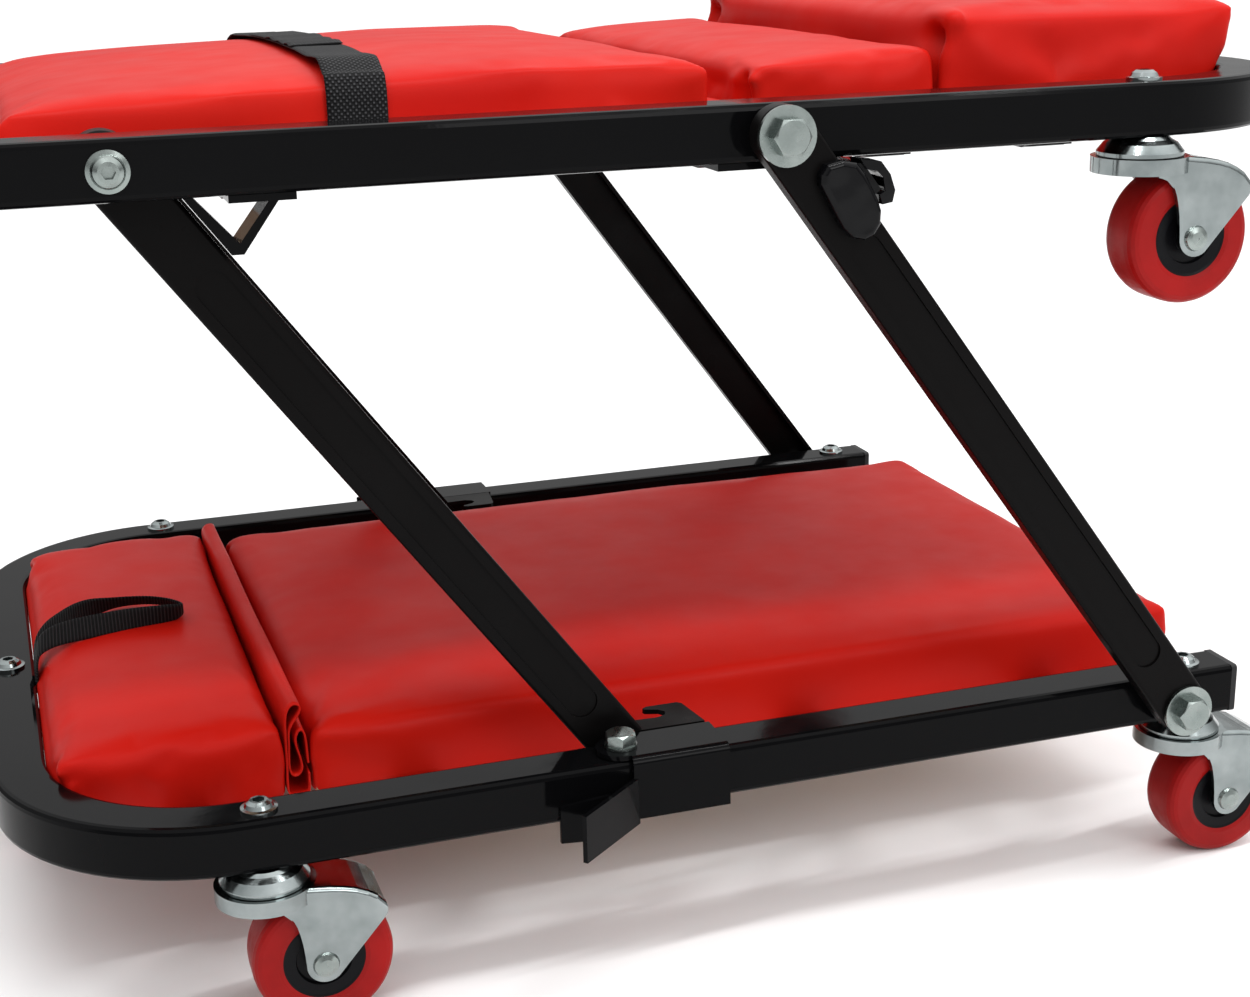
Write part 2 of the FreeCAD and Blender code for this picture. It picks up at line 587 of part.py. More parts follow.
def fork(x, y, top):
    """Pressed fork: cup round the race, hood over the wheel, a trailing leg each side."""
    u = top - TUBE
    def P(pts):
        return [(x + a, u + b) for a, b in pts]
    foot = [(TRAIL + 8.6 * math.cos(math.radians(a)), -AXLE_DROP + 8.6 * math.sin(math.radians(a)))
            for a in range(-172, -40, 12)]
    leg = P([(8.0, -12.5), (8.0, -21.8), (9.4, -24.0), (10.6, -27.0), (11.6, -31.0), (12.5, -36.0), (13.1, -42.0)] + foot
            + [(49.5, -29.0), (50.8, -27.0), (51.2, -24.4), (50.4, -21.6), (47.4, -18.2), (43.4, -15.6), (38.4, -13.3),
               (33.0, -11.7), (27.0, -10.5), (20.0, -9.6), (8.0, -9.6)])
    arm = prism_xz(leg, y - FORK_OUT, y + FORK_OUT)
    arm = arm.makeFillet(2.6, [e for e in arm.Edges
                               if abs(e.Vertexes[0].Point.y - e.Vertexes[-1].Point.y) < 1e-6
                               and all(abs(abs(v.Point.y - y) - FORK_OUT) < 1e-6 for v in e.Vertexes)
                               and min(v.Point.z for v in e.Vertexes) > u - 21.9
                               and min(v.Point.x for v in e.Vertexes) > x + 19.0
                               and max(v.Point.z for v in e.Vertexes) < u - 9.0])
    wedge = prism_xz(P([(-8.0, -16.5), (0.0, -17.6), (5.0, -19.6), (8.5, -23.2), (8.5, -12.0), (-8.0, -12.0)]),
                     y - FORK_OUT, y + FORK_OUT)
    cup = cyl(22.5, 7.3, (x, y, u - 16.5), (0, 0, 1))
    s = arm.fuse(wedge).fuse(cup)
    inner = prism_xz(P([(9.5, -12.2), (9.5, -60.0), (60.0, -60.0), (60.0, -23.2), (46.5, -20.4), (38.0, -16.2),
                        (28.0, -13.4), (20.0, -12.2)]), y - FORK_IN, y + FORK_IN)
    slot = box(x - 26.0, x + 9.6, y - FORK_IN, y + FORK_IN, u - 30.0, u - 12.2)
    ring = cyl(20.2, 10.0, (x, y, u - 22.2), (0, 0, 1)).common(box(x - 30, x + 2.0, y - 30, y + 30, u - 60, u))
    s = s.cut(inner).cut(slot.common(cyl(20.2, 60.0, (x, y, u - 60.0), (0, 0, 1)))).cut(ring)
    s = s.cut(cyl(PIN_R + RUN, 30, (x, y, u - 30), (0, 0, 1)))
    s = s.cut(cyl(AXLE_R + 0.02, 60, (x + TRAIL, y - 30, u - AXLE_DROP), (0, 1, 0)))
    return biggest(s)


def axle(x, y, top):
    u = top - TUBE
    p = (x + TRAIL, u - AXLE_DROP)
    parts = [cyl(AXLE_R, 2 * FORK_OUT + 1.0, (p[0], y - FORK_OUT - 0.5, p[1]), (0, 1, 0)),
             revolve_y([(0.0, 0.0), (6.0, 0.0), (5.4, 1.4), (3.2, 2.2), (0.0, 2.3)], (p[0], y + FORK_OUT, p[1])),
             revolve_y([(0.0, 0.0), (6.0, 0.0), (5.4, -1.4), (3.2, -2.2), (0.0, -2.3)], (p[0], y - FORK_OUT, p[1]))]
    return fuse(parts)


def tyre(x, y, top):
    u = top - TUBE
    h = WHEEL_W / 2.0
    prof = [(HUB_R, -h + 0.6), (20.5, -h), (27.8, -h), (29.6, -h + 0.6), (30.9, -h + 2.0), (31.6, -h + 4.2),
            (WHEEL_R, -h + 7.0), (WHEEL_R, h - 7.0), (31.6, h - 4.2), (30.9, h - 2.0), (29.6, h - 0.6), (27.8, h),
            (20.5, h), (HUB_R, h - 0.6)]
    return revolve_y(prof, (x + TRAIL, y, u - AXLE_DROP))


def hub(x, y, top):
    u = top - TUBE
    h = WHEEL_W / 2.0
    b = AXLE_R + RUN
    half = [(b, h + 0.8), (7.0, h + 0.8), (7.0, h - 3.4), (12.2, h - 3.4), (12.8, h - 1.6), (HUB_R - 1.2, h - 1.0),
            (HUB_R, h - 0.6)]
    prof = [(r, -v) for r, v in half] + half[::-1]
    return revolve_y(prof, (x + TRAIL, y, u - AXLE_DROP))


parts = {
    "lower_frame_tube": lower_frame_tube,
    "lower_tube_caps": lower_tube_caps,
    "lower_cross_bars": lower_cross_bars,
    "lower_pad_boards": lower_pad_boards,
    "small_pad": small_pad,
    "large_pad": large_pad,
    "lower_hinge_fold": lower_hinge_fold,
    "loop_handle": loop_handle,
    "lower_caster_mounts": group([caster_mount(x, y, LOW_TOP) for x, y in LOW_CASTERS.values()]),
    "lower_pivot_bolts": lower_pivot_bolts,
    "latch_bolts": latch_bolts,
    "upper_frame_tube": upper_frame_tube,
    "upper_tube_caps": upper_tube_caps,
    "upper_cross_bars": upper_cross_bars,
    "upper_pad_boards": upper_pad_boards,
    "stop_straps": stop_straps,
    "seat_pad": seat_pad,
    "shoulder_pad": shoulder_pad,
    "headrest_pad": headrest_pad,
    "upper_hinge_fold": upper_hinge_fold,
    "seat_strap": seat_strap,
    "upper_caster_mounts": group([caster_mount(x, y, UP_TOP) for x, y in UP_CASTERS.values()]),
    "upper_hex_bolts": upper_hex_bolts,
    "upper_button_bolts": upper_button_bolts,
    "right_link_near": right_link_near,
    "right_link_far": right_link_far,
    "stop_hook_near": stop_hook_near,
    "stop_hook_far": stop_hook_far,
    "left_link_near": left_link_near,
    "left_link_far": left_link_far,
    "latch_near": latch_near,
    "latch_far": latch_far,
}
for table, top in ((LOW_CASTERS, LOW_TOP), (UP_CASTERS, UP_TOP)):
    for key, (x, y) in table.items():
        parts["fork_" + key] = fork(x, y, top)
        parts["axle_" + key] = axle(x, y, top)
        parts["tyre_" + key] = tyre(x, y, top)
        parts["hub_" + key] = hub(x, y, top)

os.makedirs("parts", exist_ok=True)
for name, shape in parts.items():
    if not shape.isValid() or not shape.Solids:
        raise ValueError("bad shape: " + name)
    shape.translate(V(CENTRE_X, 0, 0))
    shape.exportStep("parts/" + name + ".step")
print(len(parts), "parts")
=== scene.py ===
import json
import math
import random

import bmesh
import bpy
import numpy as np
from mathutils import Matrix, Vector, noise
from mathutils.bvhtree import BVHTree


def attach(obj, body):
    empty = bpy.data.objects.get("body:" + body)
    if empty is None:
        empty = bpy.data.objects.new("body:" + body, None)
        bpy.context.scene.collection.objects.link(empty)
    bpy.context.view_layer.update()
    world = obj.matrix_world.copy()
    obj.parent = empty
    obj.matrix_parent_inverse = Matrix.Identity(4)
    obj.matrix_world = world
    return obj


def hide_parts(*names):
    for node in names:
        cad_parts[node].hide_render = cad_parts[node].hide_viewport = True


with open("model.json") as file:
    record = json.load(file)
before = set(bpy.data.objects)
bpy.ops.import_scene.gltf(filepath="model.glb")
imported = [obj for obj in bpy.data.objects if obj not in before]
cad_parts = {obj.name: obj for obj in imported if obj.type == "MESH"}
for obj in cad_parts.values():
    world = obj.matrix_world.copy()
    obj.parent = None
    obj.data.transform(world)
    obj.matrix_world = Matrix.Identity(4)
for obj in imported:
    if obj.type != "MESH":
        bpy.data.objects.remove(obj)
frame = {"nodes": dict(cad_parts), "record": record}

random.seed(7)
N = frame["nodes"]
MM = 0.001
SX = 5.0          # the frame's X offset, mm
LOW_TOP, UP_TOP = 104.0, 397.0
RAIL_Y, HALF_W, INNER_Y = 216.0, 228.5, 203.5
PAD_HALF = 160.0
WRAP_Z = -25.8    # underside of the cover, folded round the board, below the rail top

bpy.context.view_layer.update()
scn = bpy.context.scene

# ------------------------------------------------------------------ materials


def principled(name, base, rough, metal=0.0, **more):
    m = bpy.data.materials.new(name)
    m.use_nodes = True
    b = m.node_tree.nodes["Principled BSDF"]
    b.inputs["Base Color"].default_value = (*base, 1.0)
    b.inputs["Roughness"].default_value = rough
    b.inputs["Metallic"].default_value = metal
    for k, v in more.items():
        b.inputs[k].default_value = v
    return m


def new(m, kind, **props):
    n = m.node_tree.nodes.new(kind)
    for k, v in props.items():
        if k in n.inputs:
            n.inputs[k].default_value = v
        else:
            setattr(n, k, v)
    return n


def link(m, a, b):
    m.node_tree.links.new(a, b)


def shader(m):
    return m.node_tree.nodes["Principled BSDF"]


def noise_of(m, scale, detail=2.0, rough=0.5):
    tc = new(m, "ShaderNodeTexCoord")
    n = new(m, "ShaderNodeTexNoise", Scale=scale, Detail=detail, Roughness=rough)
    link(m, tc.outputs["Object"], n.inputs["Vector"])
    return n.outputs["Fac"]


def mapped(m, sock, lo, hi, a=0.3, b=0.7):
    r = new(m, "ShaderNodeMapRange")
    r.inputs["From Min"].default_value = a
    r.inputs["From Max"].default_value = b
    r.inputs["To Min"].default_value = lo
    r.inputs["To Max"].default_value = hi
    link(m, sock, r.inputs["Value"])
    return r.outputs["Result"]


def bump_chain(m, parts):
    """parts: (height socket, distance in metres, strength), first is the broadest."""
    last = None
    for h, dist, strength in parts:
        b = new(m, "ShaderNodeBump", Strength=strength, Distance=dist)
        link(m, h, b.inputs["Height"])
        if last is not None:
            link(m, last, b.inputs["Normal"])
        last = b.outputs["Normal"]
    link(m, last, shader(m).inputs["Normal"])


def tint(m, sock, ca, cb, a=0.3, b=0.7):
    r = new(m, "ShaderNodeValToRGB")
    r.color_ramp.elements[0].color = (*ca, 1.0)
    r.color_ramp.elements[1].color = (*cb, 1.0)
    r.color_ramp.elements[0].position = a
    r.color_ramp.elements[1].position = b
    link(m, sock, r.inputs["Fac"])
    link(m, r.outputs["Color"], shader(m).inputs["Base Color"])


# gloss enamel on the tubes, links and latches: orange peel, a little dust dulling
PAINT = principled("frame_paint", (0.0022, 0.0022, 0.0025), 0.12, **{"Specular IOR Level": 0.06})
link(PAINT, mapped(PAINT, noise_of(PAINT, 26.0, 4.0), 0.05, 0.15), shader(PAINT).inputs["Roughness"])
bump_chain(PAINT, [(noise_of(PAINT, 60.0, 1.0), 0.0006, 0.10), (noise_of(PAINT, 420.0, 1.0), 0.00006, 0.15)])
PAINT_SATIN = principled("link_paint", (0.0030, 0.0026, 0.0026), 0.30, **{"Specular IOR Level": 0.05})
link(PAINT_SATIN, mapped(PAINT_SATIN, noise_of(PAINT_SATIN, 30.0, 4.0), 0.24, 0.42),
     shader(PAINT_SATIN).inputs["Roughness"])
bump_chain(PAINT_SATIN, [(noise_of(PAINT_SATIN, 90.0, 2.0), 0.0005, 0.10)])
DIPPED = principled("dipped_black", (0.0025, 0.0025, 0.003), 0.06, **{"Specular IOR Level": 0.13})
bump_chain(DIPPED, [(noise_of(DIPPED, 75.0, 0.5), 0.0026, 0.35)])

PLASTIC = principled("black_plastic", (0.008, 0.008, 0.009), 0.42, **{"Specular IOR Level": 0.25})
bump_chain(PLASTIC, [(noise_of(PLASTIC, 900.0, 2.0), 0.00008, 0.3)])

# plywood: long grain stretched along Y, pale face veneer
PLY = principled("plywood", (0.42, 0.29, 0.17), 0.72)
tc = new(PLY, "ShaderNodeTexCoord")
mp = new(PLY, "ShaderNodeMapping")
mp.inputs["Scale"].default_value = (55.0, 4.0, 220.0)
link(PLY, tc.outputs["Object"], mp.inputs["Vector"])
grain = new(PLY, "ShaderNodeTexNoise", Scale=1.0, Detail=5.0)
link(PLY, mp.outputs["Vector"], grain.inputs["Vector"])
tint(PLY, grain.outputs["Fac"], (0.30, 0.185, 0.095), (0.52, 0.38, 0.235))
bump_chain(PLY, [(grain.outputs["Fac"], 0.0002, 0.3)])


def vinyl(name, base, dark, rough):
    m = principled(name, base, rough, **{"Specular IOR Level": 0.08, "Coat Weight": 0.0})
    tint(m, noise_of(m, 9.0, 3.0), dark, base)
    link(m, mapped(m, noise_of(m, 34.0, 4.0), rough - 0.05, rough + 0.07), shader(m).inputs["Roughness"])
    v = new(m, "ShaderNodeTexVoronoi", Scale=1500.0, feature="SMOOTH_F1")
    tcv = new(m, "ShaderNodeTexCoord")
    link(m, tcv.outputs["Object"], v.inputs["Vector"])
    bump_chain(m, [(noise_of(m, 22.0, 2.0), 0.0012, 0.07), (noise_of(m, 120.0, 3.0), 0.0003, 0.10),
                   (v.outputs["Distance"], 0.00006, 0.30)])
    return m


VINYL = vinyl("red_vinyl", (0.53, 0.0100, 0.0045), (0.46, 0.0065, 0.0038), 0.42)

# bright zinc plate with a faint drawn grain and soft stains
def plated(name, lo, hi, r0, r1):
    m = principled(name, hi, r0, 1.0)
    tint(m, noise_of(m, 60.0, 4.0), lo, hi)
    link(m, mapped(m, noise_of(m, 140.0, 3.0), r0, r1), shader(m).inputs["Roughness"])
    bump_chain(m, [(noise_of(m, 160.0, 2.0), 0.0004, 0.10), (noise_of(m, 1400.0, 1.0), 0.00003, 0.25)])
    return m


ZINC = plated("zinc", (0.20, 0.228, 0.228), (0.32, 0.352, 0.352), 0.10, 0.24)
ZINC_DULL = plated("zinc_hardware", (0.20, 0.232, 0.222), (0.31, 0.345, 0.33), 0.17, 0.34)

TREAD = principled("tread_red", (0.34, 0.007, 0.007), 0.42, **{"Specular IOR Level": 0.13})
tint(TREAD, noise_of(TREAD, 45.0, 3.0), (0.23, 0.0042, 0.0040), (0.31, 0.0058, 0.0054))
link(TREAD, mapped(TREAD, noise_of(TREAD, 220.0, 3.0), 0.33, 0.5), shader(TREAD).inputs["Roughness"])
bump_chain(TREAD, [(noise_of(TREAD, 700.0, 2.0), 0.0001, 0.25)])
HUB = principled("hub_black", (0.004, 0.004, 0.005), 0.36, **{"Specular IOR Level": 0.10})
bump_chain(HUB, [(noise_of(HUB, 800.0, 2.0), 0.00008, 0.3)])


def webbing(name, pitch_u, pitch_v, crest_highlight, woven=True):
    """Woven tape: ruv holds metres along and across the tape; its crests carry a painted highlight in the base colour.
    """
    m = principled(name, (0.012, 0.012, 0.013), 0.62, **{"Specular IOR Level": 0.12, "Sheen Weight": 0.02,
                                                         "Sheen Roughness": 0.4})
    at = new(m, "ShaderNodeAttribute", attribute_name="ruv")
    sep = new(m, "ShaderNodeSeparateXYZ")
    link(m, at.outputs["Vector"], sep.inputs["Vector"])

    def wave(sock, pitch, phase=0.0):
        a = new(m, "ShaderNodeMath", operation="MULTIPLY")
        a.inputs[1].default_value = 2.0 * math.pi / pitch
        link(m, sock, a.inputs[0])
        c = new(m, "ShaderNodeMath", operation="ADD")
        c.inputs[1].default_value = phase
        link(m, a.outputs[0], c.inputs[0])
        s = new(m, "ShaderNodeMath", operation="SINE")
        link(m, c.outputs[0], s.inputs[0])
        return s.outputs[0]

    def mul(a, b):
        p = new(m, "ShaderNodeMath", operation="MULTIPLY")
        link(m, a, p.inputs[0])
        link(m, b, p.inputs[1])
        return p.outputs[0]

    w = wave(sep.outputs["X"], pitch_u)
    if woven:
        w = mul(w, wave(sep.outputs["Y"], pitch_v))
    h = mapped(m, w, 0.0, 1.0, -1.0, 1.0)
    rib = mapped(m, wave(sep.outputs["X"], pitch_u / 2.0), 0.0, 1.0, -1.0, 1.0)
    # painted highlight: the weave crests are coloured lighter than the hollows
    tint(m, h, (0.004, 0.004, 0.0045), (crest_highlight, crest_highlight, crest_highlight * 1.05), 0.60, 0.92)
    bump_chain(m, [(h, 0.0005, 0.8), (rib, 0.0002, 0.4)])
    return m


# the last number is the colour of the painted highlight on the weave crests
WEB = webbing("webbing", 0.0027, 0.0026, 0.050)
WEB_FINE = webbing("webbing_ribbed", 0.0018, 0.0060, 0.024, False)


def smooth(o, angle=35.0):
    me = o.data
    for p in me.polygons:
        p.use_smooth = True
    me.set_sharp_from_angle(angle=math.radians(angle))


def dress(o, mat, angle=35.0):
    o.data.materials.clear()
    o.data.materials.append(mat)
    smooth(o, angle)


slot_mat = {"frame_paint": PAINT, "black_plastic": PLASTIC, "plywood": PLY, "red_vinyl": VINYL, "webbing": WEB,
            "zinc": ZINC, "tread_red": TREAD, "hub_black": HUB}
for sp in frame["record"]["subparts"]:
    dress(N[sp["node"]], slot_mat[sp["material_slot"]])
for n in ("right_link_near", "right_link_far", "left_link_near", "left_link_far"):
    dress(N[n], PAINT_SATIN)
for n in ("stop_hook_near", "stop_hook_far"):
    dress(N[n], DIPPED)
for n in ("upper_hex_bolts", "lower_pivot_bolts", "upper_button_bolts", "latch_bolts"):
    dress(N[n], ZINC_DULL, 25.0)
for n in N:
    if n.startswith("axle_"):
        dress(N[n], ZINC_DULL, 25.0)


def bevel(o, w, seg=2, angle=40.0):
    m = o.modifiers.new("bevel", "BEVEL")
    m.width = w * MM
    m.segments = seg
    m.limit_method = "ANGLE"
    m.angle_limit = math.radians(angle)
    return m


for n in N:
    if n.startswith("latch_n") or n.startswith("latch_f"):
        bevel(N[n], 0.8)
    elif n.startswith("stop_hook"):
        bevel(N[n], 1.2, 3)
    elif n.startswith(("left_link", "right_link")):
        bevel(N[n], 0.5)
    elif n.startswith("fork_"):
        bevel(N[n], 1.1, 3, 28.0)
    elif n in ("upper_hex_bolts", "lower_pivot_bolts"):
        bevel(N[n], 0.6, 2, 30.0)
    elif n in ("lower_pad_boards", "upper_pad_boards"):
        bevel(N[n], 4.2, 3, 60.0)

# ------------------------------------------------------------------ soft pads


def plan_loop(x0, x1, y0, y1, r, n_side, n_corner):
    """Rounded rectangle, anticlockwise, as (x, y, nx, ny)."""
    pts = []
    cs = ((x1 - r, y0 + r, -90), (x1 - r, y1 - r, 0), (x0 + r, y1 - r, 90), (x0 + r, y0 + r, 180))
    for i, (cx, cy, a0) in enumerate(cs):
        for k in range(n_corner + 1):
            a = math.radians(a0 + 90.0 * k / n_corner)
            pts.append((cx + r * math.cos(a), cy + r * math.sin(a), math.cos(a), math.sin(a)))
        nx_, ny_, na = cs[(i + 1) % 4]
        a = math.radians(na)
        ax, ay = pts[-1][0], pts[-1][1]
        bx, by = nx_ + r * math.cos(a), ny_ + r * math.sin(a)
        for k in range(1, n_side):
            t = k / n_side
            pts.append((ax + (bx - ax) * t, ay + (by - ay) * t, math.cos(a), math.sin(a)))
    return pts


def clear_bend(x, y, z, bend):
    """Below the rail top the cover stays inside the bend of the tube."""
    bx, by, r = bend
    u, v = x - bx, abs(y) - by
    if v <= 0 or u * bx <= 0 or z > 5.0:
        return x, y
    d = math.hypot(u, v)
    lim = r + max(0.0, z - 0.4) * 6.0
    if d <= lim:
        return x, y
    return bx + u * lim / d, math.copysign(by + v * lim / d, y)


def pad_base(name, x, top, crease, crown, re=4.5, rc=5.0, bulge=1.0, lean=None, half=PAD_HALF, shrink=1.2,
             bend=None):
    """Closed crowned cushion form round its board; crease(x, y) and crown are heights over the rail top."""
    x0, x1 = x[0] + shrink, x[1] - shrink
    h = half - shrink
    loop = plan_loop(x0, x1, -h, h, rc, 30, 6)
    n = len(loop)
    cx = (x0 + x1) / 2.0
    hx, hy = (x1 - x0) / 2.0, h
    rings = []
    zb = WRAP_Z

    def ring(inset, zf, bulge_at=0.0):
        out = []
        for px, py, nx, ny in loop:
            sx = (hx - inset) / hx
            sy = (hy - inset) / hy
            qx, qy = cx + (px - cx) * sx, py * sy
            z = zf(qx, qy)
            dx, dy = nx * bulge_at, ny * bulge_at
            if lean is not None:
                lx, ly = lean(qx, qy, z)
                dx, dy = dx + lx, dy + ly
            ax, ay = qx + dx, qy + dy
            if bend is not None:
                ax, ay = clear_bend(ax, ay, z, bend)
            out.append((ax, ay, z))
        rings.append(out)

    m = min(hx, hy)
    for t in (0.04, 0.3, 0.6, 0.85):
        ring(m * (1.0 - t), lambda a, b: zb)
    ring(0.9, lambda a, b: zb)
    for t in (0.06, 0.2, 0.36, 0.52, 0.68, 0.84):
        ring(0.0, lambda a, b, t=t: zb + 0.9 + t * (crease(a, b) - re - zb - 0.9), bulge * math.sin(math.pi * t))
    for k in range(1, 6):
        a = math.radians(18.0 * k)
        ring(re * (1 - math.cos(a)), lambda p, q, a=a: crease(p, q) - re * (1.0 - math.sin(a)))
    for t in (0.03, 0.08, 0.15, 0.25, 0.4, 0.55, 0.7, 0.85, 0.97):
        i = re + (m - re) * t
        ring(i, lambda p, q: crease(p, q) + crown * (1 - abs((p - cx) / hx) ** 2.4) * (1 - abs(q / hy) ** 2.6))
    me = bpy.data.meshes.new(name)
    verts = [((a + SX) * MM, b * MM, (c + top) * MM) for r in rings for a, b, c in r]
    faces = []
    for j in range(len(rings) - 1):
        for i in range(n):
            k = (i + 1) % n
            faces.append((j * n + i, j * n + k, (j + 1) * n + k, (j + 1) * n + i))
    faces.append(tuple(range(n))[::-1])
    faces.append(tuple((len(rings) - 1) * n + i for i in range(n)))
    me.from_pydata(verts, [], faces)
    me.validate()
    o = bpy.data.objects.new(name, me)
    scn.collection.objects.link(o)
    return o


def apply_all(o):
    dg = bpy.context.evaluated_depsgraph_get()
    me = bpy.data.meshes.new_from_object(o.evaluated_get(dg), depsgraph=dg)
    o.modifiers.clear()
    old = o.data
    o.data = me
    if old.users == 0:
        bpy.data.meshes.remove(old)


def coords(me):
    a = np.empty(len(me.vertices) * 3)
    me.vertices.foreach_get("co", a)
    return a.reshape(-1, 3)


def put(me, a):
    me.vertices.foreach_set("co", a.reshape(-1))
    me.update()


def normals(me):
    a = np.empty(len(me.vertices) * 3)
    me.vertex_normals.foreach_get("vector", a)
    return a.reshape(-1, 3)


def swell(o, top, cap, pressure=4.0, voxel=4.5, grow=0.008):
    """Voxel remesh, inflate as cloth with the cover held under the board, cap the travel."""
    rm = o.modifiers.new("remesh", "REMESH")
    rm.mode = "VOXEL"
    rm.voxel_size = voxel * MM
    apply_all(o)
    me = o.data
    start = coords(me)
    g = o.vertex_groups.new(name="held")
    held = [i for i, v in enumerate(start) if v[2] < (top + WRAP_Z + 3.5) * MM]
    g.add(held, 1.0, "REPLACE")
    c = o.modifiers.new("cloth", "CLOTH")
    s = c.settings
    s.quality = 5
    s.mass = 0.25
    s.tension_stiffness = 18.0
    s.compression_stiffness = 18.0
    s.shear_stiffness = 6.0
    s.bending_stiffness = 0.35
    s.use_pressure = True
    s.uniform_pressure_force = pressure
    s.shrink_min = -grow
    s.vertex_group_mass = "held"
    s.effector_weights.gravity = 0.0
    c.collision_settings.use_collision = False
    c.collision_settings.use_self_collision = False
    c.point_cache.frame_start = 1
    c.point_cache.frame_end = 20
    for f in range(1, 21):
        scn.frame_set(f)
    dg = bpy.context.evaluated_depsgraph_get()
    ev = o.evaluated_get(dg)
    got = coords(ev.data) if len(ev.data.vertices) == len(start) else start
    o.modifiers.clear()
    o.vertex_groups.clear()
    scn.frame_set(1)
    d = got - start
    ln = np.linalg.norm(d, axis=1)
    k = np.where(ln > 1e-9, cap * MM * np.tanh(ln / (cap * MM)) / np.maximum(ln, 1e-9), 0.0)
    put(me, start + d * k[:, None])
    print("swell", o.name, len(start), "max", round(float(ln.max()) / MM, 1), "mean", round(float(ln.mean()) / MM, 2))


def gauss(d, s):
    return np.exp(-0.5 * (d / s) ** 2)


def press_left(q):
    """Below the rail top the small pad's cover lies flat against the tube round its left end."""
    z = q[:, 2]
    k = np.clip((1.0 - z) / 3.0, 0.0, 1.0) * np.clip((z - WRAP_Z - 0.3) / 2.0, 0.0, 1.0)
    x, y = q[:, 0].copy(), q[:, 1].copy()
    flat = (x < -293.5) & (np.abs(y) <= 124.5)
    q[:, 0] = np.where(flat, x * (1 - k) - 298.8 * k, x)
    u, v = x + 220.0, np.abs(y) - 124.5
    d = np.hypot(u, v)
    arc = (v > 0) & (u < 0) & (d > 73.5)
    g = (78.7 / np.maximum(d, 1.0) - 1.0) * k
    q[:, 0] = np.where(arc, x + u * g, q[:, 0])
    q[:, 1] = np.where(arc, y + np.sign(y) * v * g, q[:, 1])
    return q


def refine(o, fields, top, x, levels=1, press=None):
    """One subdivision, then small pulls of the cover along its normals, then the folded hem."""
    sb = o.modifiers.new("sub", "SUBSURF")
    sb.levels = levels
    sb.render_levels = levels
    apply_all(o)
    me = o.data
    p = coords(me)
    nn = normals(me)
    q = p / MM
    q[:, 0] -= SX
    q[:, 2] -= top
    amount = np.zeros(len(p))
    for f in fields:
        amount += f(q, nn)
    keep = np.clip((q[:, 2] - WRAP_Z - 0.5) / 3.0, 0.0, 1.0)
    p = p + nn * (amount * keep * MM)[:, None]
    # the cover stops 24 mm in under the board
    inner = np.minimum.reduce([q[:, 0] - x[0], x[1] - q[:, 0], PAD_HALF - np.abs(q[:, 1])])
    under = (q[:, 2] < WRAP_Z + 1.5)
    p[:, 2] += np.where(under, np.clip((inner - 22.0) / 3.0, 0.0, 1.0) * 1.3 * MM, 0.0)
    if press is not None:
        off = np.array([SX, 0.0, top])
        p = (press(p / MM - off) + off) * MM
    put(me, p)
    for poly in me.polygons:
        poly.use_smooth = True


def waves(scale, amp, seed, sel=None):
    """Broad hand-pulled unevenness, mm wavelength and height."""
    def f(q, nn):
        out = np.array([noise.noise(Vector((a / scale + seed, b / scale, c / scale * 0.6 - seed))) for a, b, c in q])
        w = out * amp
        return w * sel(q, nn) if sel else w
    return f


def front(q, nn):
    return np.clip(-nn[:, 1], 0.0, 1.0) ** 2


def back(q, nn):
    return np.clip(nn[:, 1], 0.0, 1.0) ** 2


def sides(q, nn):
    return np.clip(1.0 - nn[:, 2] ** 2, 0.0, 1.0)


def upper(q, nn):
    return np.clip(nn[:, 2], 0.0, 1.0) ** 2


def pull(ax, ay, az, bx, by, bz, width, amp):
    """A tight ridge of cover running from a to b."""
    a, b = np.array([ax, ay, az]), np.array([bx, by, bz])
    d = b - a
    l2 = float(d @ d)

    def f(q, nn):
        t = np.clip(((q - a) @ d) / l2, 0.0, 1.0)
        c = a + t[:, None] * d
        dist = np.linalg.norm(q - c, axis=1)
        return amp * gauss(dist, width * (0.5 + 0.9 * t)) * (1.0 - 0.75 * t)
    return f


def dog_ear(cx, cy, side_x, side_y, z0, z1, big=1.0):
    """Corner pleat: a lip at the corner with a tuck just behind it on the end face."""
    def f(q, nn):
        rise = np.clip((q[:, 2] - z0) / 4.0, 0.0, 1.0) * np.clip((z1 + 2.0 - q[:, 2]) / 5.0, 0.0, 1.0)
        u = (q[:, 1] - cy) * -side_y          # distance in from the corner along Y
        v = (q[:, 0] - cx) * -side_x          # distance in from the corner along X
        on_end = np.clip(nn[:, 0] * side_x, 0.0, 1.0)
        on_face = np.clip(nn[:, 1] * side_y, 0.0, 1.0)
        lip = 2.2 * big * gauss(np.hypot(np.maximum(u, 0) - 2.0, np.maximum(v, 0)), 3.6)
        tuck = -3.0 * big * gauss(u - 13.0, 3.2) * on_end * (v < 12.0)
        roll = 1.1 * big * gauss(u - 22.0, 6.0) * on_end * (v < 12.0)
        shade = -0.7 * big * gauss(v - 13.0, 6.0) * on_face * (u < 12.0)
        return (lip + tuck + roll + shade) * rise
    return f


def pocket(x0, sy, depth, u0=14.0, wu=9.0, z0=18.5, wz=4.6, lip=2.4):
    """Corner fold on an end face: a pushed-in pocket under an overhanging lip."""
    def f(q, nn):
        u = PAD_HALF - q[:, 1] * sy
        on_end = np.clip(-nn[:, 0], 0.0, 1.0) * (np.abs(q[:, 0] - x0) < 14.0)
        a = -depth * gauss(u - u0, wu) * gauss(q[:, 2] - z0, wz) * on_end
        return a + lip * gauss(u - u0 + 2.0, wu * 1.1) * gauss(q[:, 2] - z0 - 8.5, 2.6) * (np.abs(q[:, 0] - x0) < 10.0)
    return f


def build_pad(name, node, body, x, top, crease, crown, cap, fields, fill, press=None, **kw):
    o = pad_base(name, x, top, crease, crown, **kw)
    swell(o, top, cap)
    refine(o, fields, top, x, press=press)
    o.data.materials.clear()
    o.data.materials.append(VINYL)
    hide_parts(node)
    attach(o, body)
    return o


def lerp_table(tab):
    xs = [a for a, b in tab]
    ys = [b for a, b in tab]
    return lambda v: float(np.interp(v, xs, ys))


